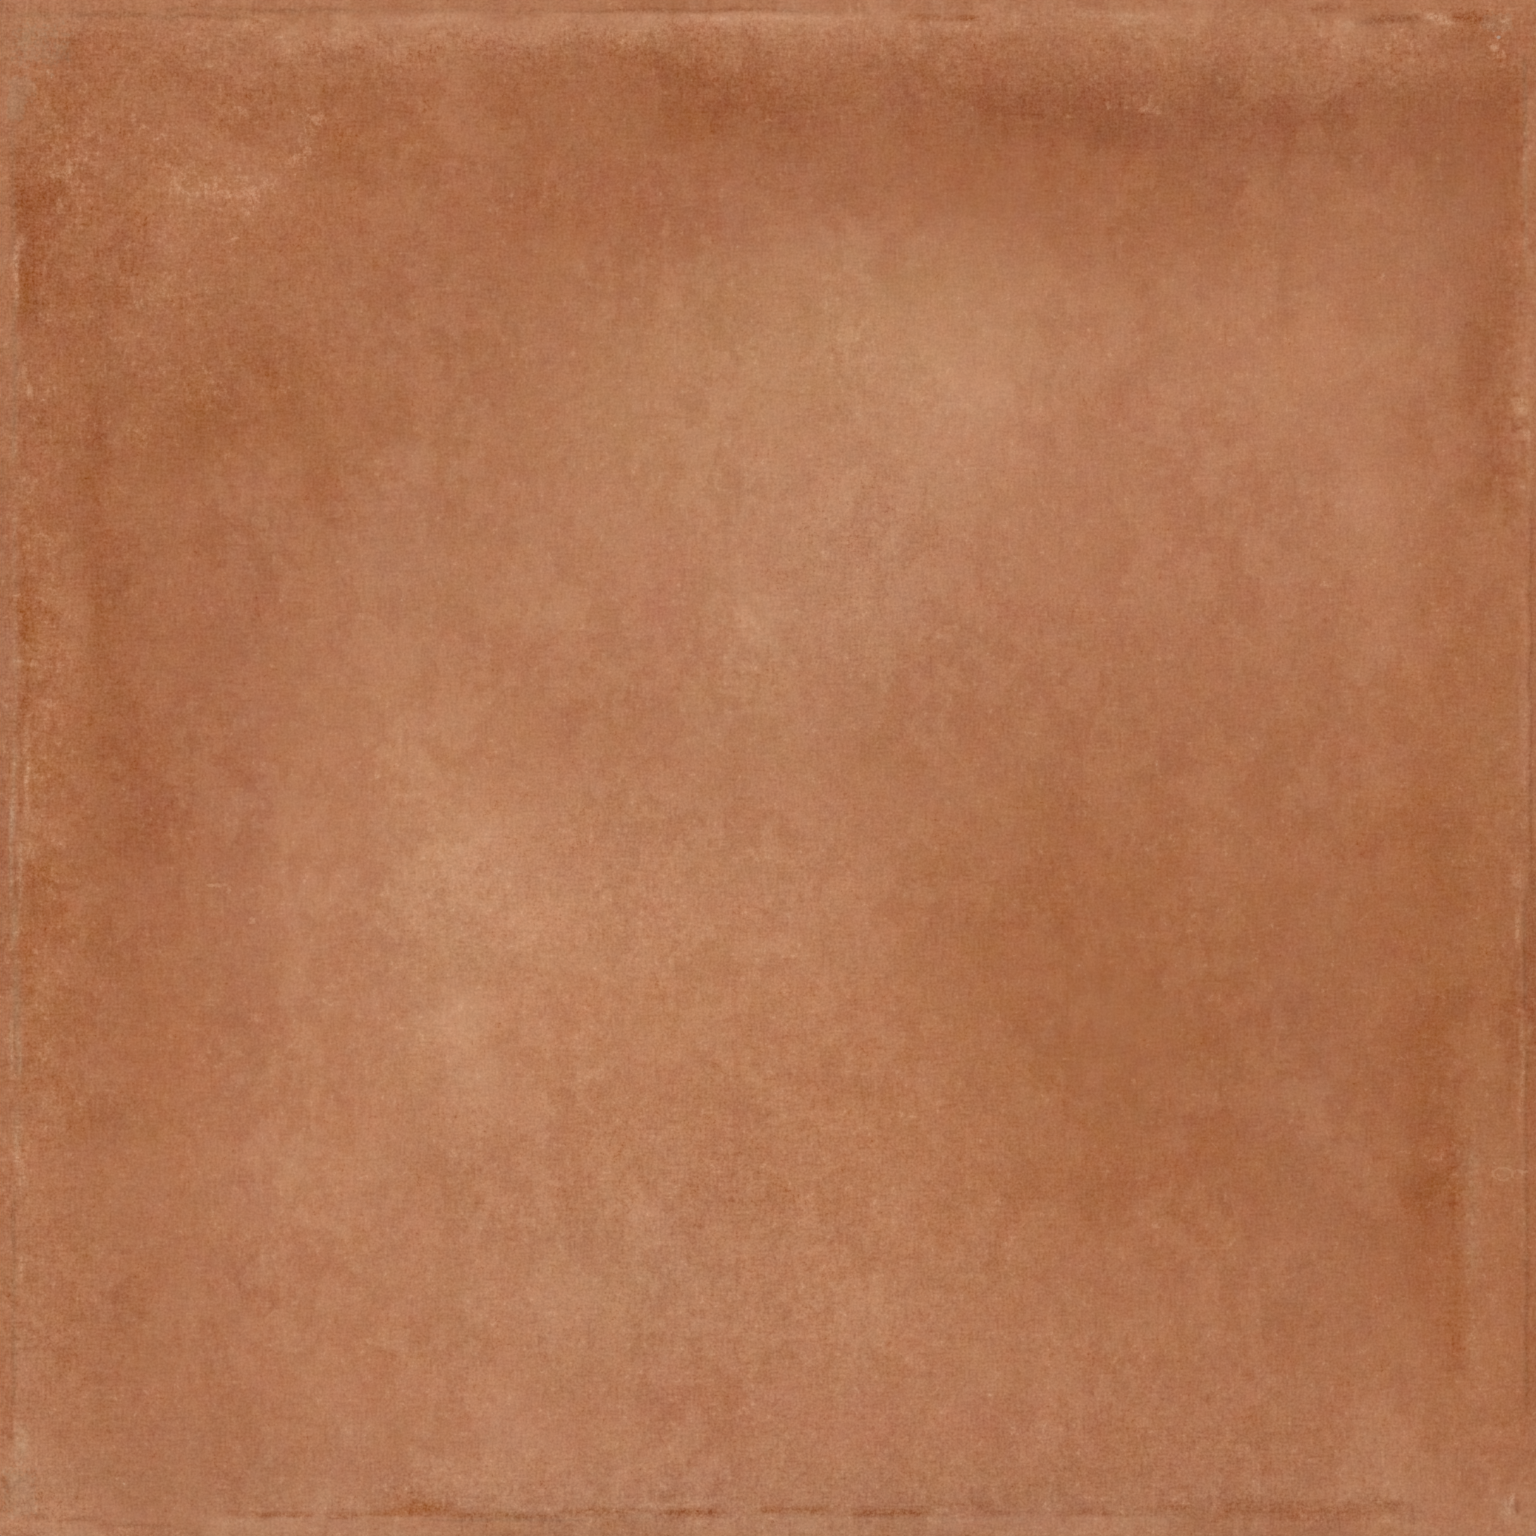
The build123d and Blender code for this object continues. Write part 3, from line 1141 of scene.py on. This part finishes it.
class Finish:
    """One material's nodes."""

    def __init__(self, name):
        self.material = bpy.data.materials.new(name)
        self.material.use_nodes = True
        self.tree = self.material.node_tree
        self.tree.nodes.clear()

    def node(self, kind, sockets, output=0, stops=(), **settings):
        """Adds a node: its settings and ramp stops first, then its sockets' values or links.

        Returns one of its outputs, or nothing for the node that closes the material.
        """
        made = self.tree.nodes.new("ShaderNode" + kind)
        for name, setting in settings.items():
            setattr(made, name, setting)
        for number, (place, colour) in enumerate(stops):
            held = made.color_ramp.elements
            stop = held[number] if number < len(held) else held.new(place)
            stop.position = place
            stop.color = (*colour, 1)
        for key, value in sockets.items():
            if isinstance(value, Value):
                self.tree.links.new(value.socket, made.inputs[key])
            else:
                made.inputs[key].default_value = value
        return Value(self, made.outputs[output]) if made.outputs else None

    def attribute(self, name):
        """One of the mesh's painted fields."""
        return self.node("Attribute", {}, output="Fac", attribute_name=name)

    def places(self):
        """Object coordinates in millimetres, with the noises' common centre moved well off the tile."""
        held = self.node("TexCoord", {}, output="Object")
        sockets = {0: held, 1: (1 / MM, 1 / MM, 1 / MM), 2: NOISE_CENTRE}
        return self.node("VectorMath", sockets, operation="MULTIPLY_ADD")

    def stretched(self, places, *scales):
        """Places with each axis scaled, so that a pattern on them is drawn out along the smaller one."""
        return self.node("VectorMath", {0: places, 1: scales}, operation="MULTIPLY")

    def noise(self, places, size, detail=0, roughness=0.5, dimensions="2D"):
        """Noise about nothing, with features of that size and as many finer octaves as the detail."""
        sockets = {"Vector": places, "Scale": 1 / size, "Detail": detail, "Roughness": roughness}
        return self.node("TexNoise", sockets, noise_dimensions=dimensions) - 0.5

    def away_from(self, places, across, up, half_width, half_height):
        """How many of its own half sizes a place lies from a spot's middle."""
        shift = (-(across + NOISE_CENTRE[0]) / half_width, -(up + NOISE_CENTRE[1]) / half_height, 0)
        sockets = {0: places, 1: (1 / half_width, 1 / half_height, 0), 2: shift}
        spread = self.node("VectorMath", sockets, operation="MULTIPLY_ADD")
        return self.node("VectorMath", {0: spread}, output="Value", operation="LENGTH")

    def clay_colour(self, tone, greyness, olive, grain):
        """The clay's colour at a tone, then moved by its steps of greyness, olive and grain."""
        marks = np.linspace(-TONE_SPAN, TONE_SPAN, TONE_STOPS)
        colours = [display_to_linear(CLAY + mark * TONE_STEP) - SHEEN_VEIL for mark in marks]
        stops = list(zip((marks / TONE_SPAN + 1) / 2, colours))
        share = tone * (0.5 / TONE_SPAN) + 0.5
        plain = self.node("ValToRGB", {"Fac": share}, stops=stops)
        for step, amount in ((GREY_STEP, greyness), (OLIVE_STEP, olive), (GRAIN_STEP, grain)):
            colour_step = display_to_linear(CLAY + step) - display_to_linear(CLAY)
            shift = self.node("VectorMath", {0: tuple(colour_step), "Scale": amount}, operation="SCALE")
            plain = self.node("VectorMath", {0: plain, 1: shift}, operation="ADD")
        return plain

    def surface(self, colour, roughness, height, bump_strength, bump_distance):
        """Closes the material: a matt fired-clay shader with its bump, the distance in millimetres."""
        bump = {"Strength": bump_strength, "Distance": bump_distance * MM, "Height": height}
        sockets = {
            "Base Color": colour,
            "Roughness": roughness,
            "Normal": self.node("Bump", bump),
            "Specular IOR Level": SHEEN_LEVEL,
        }
        self.node("OutputMaterial", {"Surface": self.node("BsdfPrincipled", sockets)})
        return self.material


def washed_face():
    """The face: clouds of wash, octaves of mottle, fine grain, pale scuffs, and worn edges, with painted
    light along the cushion.
    """
    clay = Finish("fired_clay_face")
    places = clay.places()
    grain_level = clay.attribute("grain")

    # Noises, from the broadest to the finest, by the size of their features
    bunches = clay.noise(places, 17).step(-0.2, 0.2) + 0.5
    mottle = clay.noise(clay.stretched(places, 1.15, 0.85, 1), 8, detail=2, roughness=0.75)
    tint = clay.noise(places, 6.7, detail=2, roughness=0.8)
    drift = clay.noise(places, 5.1, detail=2, roughness=0.8)
    dapple = clay.noise(places, 2.4, detail=2, roughness=1)
    speckle = clay.noise(places, 0.8, detail=2, roughness=1)
    flakes = clay.noise(places, 0.52, detail=2, roughness=0.7)
    upright = clay.noise(clay.stretched(places, 1, 0.14, 1), 0.36)
    level = clay.noise(clay.stretched(places, 0.14, 1, 1), 0.36)
    grit = clay.noise(places, 0.31)

    # Marks that break up by those noises, most of them from 0 to 1
    feather = (clay.attribute("slope_across") * dapple + clay.attribute("slope_up") * speckle) * 6
    scuff = clay.attribute("scuff")
    specks = (flakes + dapple * 0.8 + scuff * 0.24).step(0.39, 0.46)
    rubbed = (speckle + dapple * 0.9 + scuff * 0.26).step(0.22, 0.42)
    pits = (clay.attribute("pits") * 0.14 - speckle - drift * 0.6).step(0.26, 0.36)
    # Pale marks along the edges: a worn lip, and painted light along the very edge against the shade on
    # the cushion's outer slope
    worn_lip_and_painted_light = clay.attribute("pale_strokes") * (flakes.step(-0.1, 0.1) * 2.2 + 0.8)
    # Dark marks along the edges: dark clay, and a grey-brown line along the cushion's inner line
    dark_edge_marks = clay.attribute("dark_strokes") * (flakes.step(-0.1, 0.1) * 1.8 + 1)
    nearest = abs(clay.away_from(places, *PALE_RING) - 1) * 2.5 + 0.5
    for spot in PALE_SPOTS:
        nearest = nearest.least(clay.away_from(places, *spot))
    spots = (nearest + flakes * 2.5).step(1.1, 0.5)
    bluish = (clay.away_from(places, *BLUISH_SPOT) + flakes).step(1.2, 0.5)
    film = (clay.attribute("film") + flakes * 1.2 + dapple * 0.8).step(0.4, 0.6)
    patchy = (mottle + dapple * 0.5).step(-0.04, 0.05) - 0.5

    # What each of them adds, in display steps
    tone = clay.attribute("tone") + feather + (patchy * 4.5 + mottle * 17) * bunches
    tone = tone + dapple * (grain_level * 50 - 27) + speckle * grain_level * 15
    tone = tone + specks * 20 + rubbed * 17 - pits * 16 + worn_lip_and_painted_light + dark_edge_marks
    tone = tone + film * 5 + spots * 27 + bluish * 75
    greyness = clay.attribute("greyness") * 1.4 - 0.15 + drift * 11 + film * 6 + bluish * 30
    olive = clay.attribute("olive") * 1.8 + tint * 8 + film * 1.5
    grain = (speckle * 28 + grit * 25 + upright * 11 + level * 11) * grain_level

    colour = clay.clay_colour(tone, greyness, olive, grain)
    roughness = 0.78 + speckle * 0.25 - specks * 0.05
    height = speckle * 0.6 + grit * 0.5 + upright * 0.3 + level * 0.3
    return clay.surface(colour, roughness, height, bump_strength=0.25, bump_distance=0.06)


def plain_body():
    """The sides and back: the clay as it left the die, with fine grog, pits and faint drag lines."""
    clay = Finish("fired_clay_body")
    places = clay.places()
    mottle = clay.noise(places, 14, detail=4, roughness=0.6, dimensions="3D")
    grog = clay.noise(places, 0.9, detail=3, roughness=0.8, dimensions="3D")
    drag = clay.noise(clay.stretched(places, 1, 1, 0.06), 0.8, detail=1, dimensions="3D")
    pits = grog.step(0.13, 0.2)
    tone = 4 + mottle * 45 + grog * 28 + drag * 14 - pits * 16
    greyness = clay.noise(places, 6, detail=2, dimensions="3D") * 8
    olive = clay.noise(places, 9, detail=2, dimensions="3D") * 6 - 0.5
    colour = clay.clay_colour(tone, greyness, olive, grog * 16)
    return clay.surface(colour, 0.85 + grog * 0.2, grog, bump_strength=0.4, bump_distance=0.08)


def pale_floor(reach=2.5, drop=0.0002, colour=(0.8, 0.79, 0.77, 1), roughness=0.9):
    """A plain pale square, that far each way from the tile's middle, just under its rib tops."""
    corners = ((-reach, -reach), (reach, -reach), (reach, reach), (-reach, reach))
    mesh = bpy.data.meshes.new("floor")
    mesh.from_pydata([(x, y, -drop) for x, y in corners], [], [(0, 1, 2, 3)])
    pale = Finish("pale_floor")
    shader = pale.node("BsdfPrincipled", {"Base Color": colour, "Roughness": roughness})
    pale.node("OutputMaterial", {"Surface": shader})
    mesh.materials.append(pale.material)
    floor = bpy.data.objects.new("floor", mesh)
    bpy.context.scene.collection.objects.link(floor)


def studio_light(sky_share=0.73, key_share=0.34, key_distance=2.5, key_size=2.0, key_elevation=72):
    """An even pale sky and one large soft lamp, which share out a white light of strength 1.

    A lamp of power P at distance d gives a facing surface P / (pi d^2), and white takes pi for
    strength 1.
    """
    scene = bpy.context.scene
    world = bpy.data.worlds.new("studio")
    world.use_nodes = True
    sky = world.node_tree.nodes["Background"]
    sky.inputs["Color"].default_value = (1, 1, 1, 1)
    sky.inputs["Strength"].default_value = sky_share
    scene.world = world
    lamp = bpy.data.lights.new("key", "AREA")
    lamp.size = key_size
    slope = radians(key_elevation)
    lamp.energy = key_share * pi * pi * key_distance**2 / sin(slope)
    key = bpy.data.objects.new("key", lamp)
    key.location = (0, key_distance * sin(pi / 2 - slope), key_distance * sin(slope))
    key.rotation_euler = (slope - pi / 2, 0, 0)
    scene.collection.objects.link(key)


def camera_above(half_view=99.5, lens=100.0, sensor=36.0):
    """Looks straight down, with +Y up, from where half the picture's width covers that much face."""
    held = bpy.data.cameras.new("camera")
    held.lens = lens
    held.sensor_width = sensor
    held.clip_start = 0.01
    camera = bpy.data.objects.new("camera", held)
    camera.location = (0, 0, (THICKNESS + half_view * lens / (sensor / 2)) * MM)
    bpy.context.scene.collection.objects.link(camera)
    bpy.context.scene.camera = camera


tile = dressed_tile(washed_face(), plain_body())
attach(tile, "root")
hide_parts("tile")

pale_floor()
studio_light()
camera_above()
bpy.context.scene.view_settings.view_transform = "Standard"
